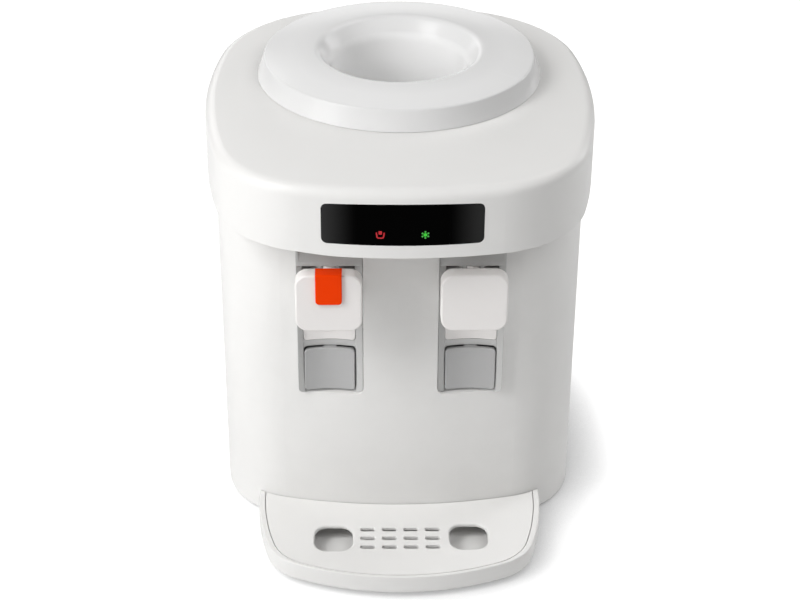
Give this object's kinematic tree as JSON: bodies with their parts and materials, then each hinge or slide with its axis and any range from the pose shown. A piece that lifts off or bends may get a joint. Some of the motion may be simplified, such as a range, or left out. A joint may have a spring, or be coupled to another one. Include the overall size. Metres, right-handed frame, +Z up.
{
  "type": "countertop water dispenser",
  "caption": "White countertop water dispenser with a round bottle collar, an overhanging top cover, a hot and a cold push tap and a drip tray.",
  "frame": {"origin": "on the plane that the feet stand on, in the middle of the whole footprint", "axes": "+X to the right seen from the front, +Y to the back, +Z up"},
  "size_m": [0.3, 0.378, 0.3558],
  "materials": {
    "housing_plastic": "satin, slightly glossy white ABS",
    "collar_plastic": "glossy white ABS",
    "grey_plastic": "satin light grey",
    "paddle_plastic": "satin light grey",
    "tap_plastic": "satin white",
    "orange_plastic": "glossy orange",
    "lens_acrylic": "glossy black",
    "steel": "brushed stainless steel",
    "screw_steel": "zinc plated",
    "aluminium": "milled",
    "foam": "rigid polystyrene foam",
    "silicone": "translucent silicone",
    "black_rubber": "matte",
    "black_plastic": "satin black",
    "base_plastic": "moulded, dark grey",
    "inner_plastic": "natural moulded",
    "red_plastic": "glossy red",
    "green_plastic": "glossy green",
    "circuit_board": "solder resist",
    "lamp_clear": "clear epoxy",
    "ceramic": "alumina ceramic",
    "mica": "metal clad mica"
  },
  "bodies": {
    "housing": {"base_plate": "base_plastic", "body_shell": "housing_plastic", "bonnet": "housing_plastic", "cold_block": "aluminium", "cold_hose": "silicone", "cold_paddle_pin": "screw_steel", "cold_tank": "steel", "cold_tap_body": "tap_plastic", "cold_tap_cap": "tap_plastic", "cold_tap_frame": "grey_plastic", "cold_valve_lid": "tap_plastic", "cooling_module": "ceramic", "drain_hose": "silicone", "drain_outlet": "housing_plastic", "fan_frame": "black_plastic", "feed_hose": "silicone", "feet": "black_rubber", "heat_sink": "aluminium", "heater_band": "mica", "hot_hose": "silicone", "hot_paddle_pin": "screw_steel", "hot_tank": "steel", "hot_tank_stand": "inner_plastic", "hot_tap_body": "tap_plastic", "hot_tap_cap": "tap_plastic", "hot_tap_frame": "grey_plastic", "hot_valve_lid": "tap_plastic", "indicator_board": "circuit_board", "indicator_lamps": "lamp_clear", "indicator_lens": "lens_acrylic", "power_board": "circuit_board", "power_inlet": "black_plastic", "rear_panel": "housing_plastic", "rear_screws": "screw_steel", "switch_housings": "black_plastic", "tank_baffle": "inner_plastic", "tank_foam": "foam", "tank_lid": "inner_plastic", "tank_seal": "silicone", "tank_shelf": "inner_plastic", "tap_screws": "screw_steel", "thermostats": "black_plastic", "underside_plate": "housing_plastic"},
    "bottle_collar": {"bottle_collar": "collar_plastic"},
    "child_lock": {"child_lock": "orange_plastic"},
    "drip_tray": {"drip_tray": "housing_plastic"},
    "drip_grille": {"drip_grille": "housing_plastic"},
    "fan_rotor": {"fan_rotor": "black_plastic"},
    "drain_cap": {"drain_cap": "black_plastic"},
    "hot_rocker": {"hot_rocker": "red_plastic"},
    "cold_rocker": {"cold_rocker": "green_plastic"},
    "hot_paddle": {"hot_paddle": "paddle_plastic"},
    "hot_valve": {"hot_valve_stem": "inner_plastic", "hot_valve_plug": "silicone", "hot_valve_bellows": "silicone"},
    "cold_paddle": {"cold_paddle": "paddle_plastic"},
    "cold_valve": {"cold_valve_stem": "inner_plastic", "cold_valve_plug": "silicone", "cold_valve_bellows": "silicone"}
  },
  "joints": [
    {"name": "hot_paddle_push", "type": "hinge", "parent": "housing", "child": "hot_paddle", "pos_m": [-0.054, -0.081, 0.171], "axis": [1, 0, 0], "range_deg": [0, 8], "stiffness_Nm_per_rad": 1, "springref_deg": -8.59},
    {"name": "hot_valve_lift", "type": "slide", "parent": "housing", "child": "hot_valve", "axis": [0, 0, 1], "range_m": [0, 0.0019], "deforming": ["hot_valve_bellows"]},
    {"name": "cold_paddle_push", "type": "hinge", "parent": "housing", "child": "cold_paddle", "pos_m": [0.054, -0.081, 0.171], "axis": [1, 0, 0], "range_deg": [0, 8], "stiffness_Nm_per_rad": 1, "springref_deg": -8.59},
    {"name": "cold_valve_lift", "type": "slide", "parent": "housing", "child": "cold_valve", "axis": [0, 0, 1], "range_m": [0, 0.0019], "deforming": ["cold_valve_bellows"]},
    {"name": "child_lock_slide", "type": "slide", "parent": "housing", "child": "child_lock", "axis": [0, 0, 1], "range_m": [0, 0.004], "stiffness_N_per_m": 150, "springref_m": -0.003},
    {"name": "drip_tray_pull", "type": "slide", "parent": "housing", "child": "drip_tray", "axis": [0, -1, 0], "range_m": [0, 0.06]},
    {"name": "drip_grille_lift", "type": "slide", "parent": "drip_tray", "child": "drip_grille", "axis": [0, 0, 1], "range_m": [0, 0.025]},
    {"name": "bottle_collar_lift", "type": "slide", "parent": "housing", "child": "bottle_collar", "axis": [0, 0, 1], "range_m": [0, 0.04]},
    {"name": "fan_spin", "type": "hinge", "parent": "housing", "child": "fan_rotor", "pos_m": [0, 0.161, 0.232], "axis": [0, 1, 0], "continuous": true},
    {"name": "hot_rocker_tilt", "type": "hinge", "parent": "housing", "child": "hot_rocker", "pos_m": [0.052, 0.168, 0.066], "axis": [1, 0, 0], "range_deg": [0, 16]},
    {"name": "cold_rocker_tilt", "type": "hinge", "parent": "housing", "child": "cold_rocker", "pos_m": [0.052, 0.168, 0.096], "axis": [1, 0, 0], "range_deg": [0, 16]},
    {"name": "drain_cap_pull", "type": "slide", "parent": "housing", "child": "drain_cap", "axis": [0, 1, 0], "range_m": [0, 0.012]}
  ],
  "couplings": [
    {"joint": "hot_valve_lift", "follows": "hot_paddle_push", "m_per_rad": 0.013},
    {"joint": "cold_valve_lift", "follows": "cold_paddle_push", "m_per_rad": 0.013}
  ]
}
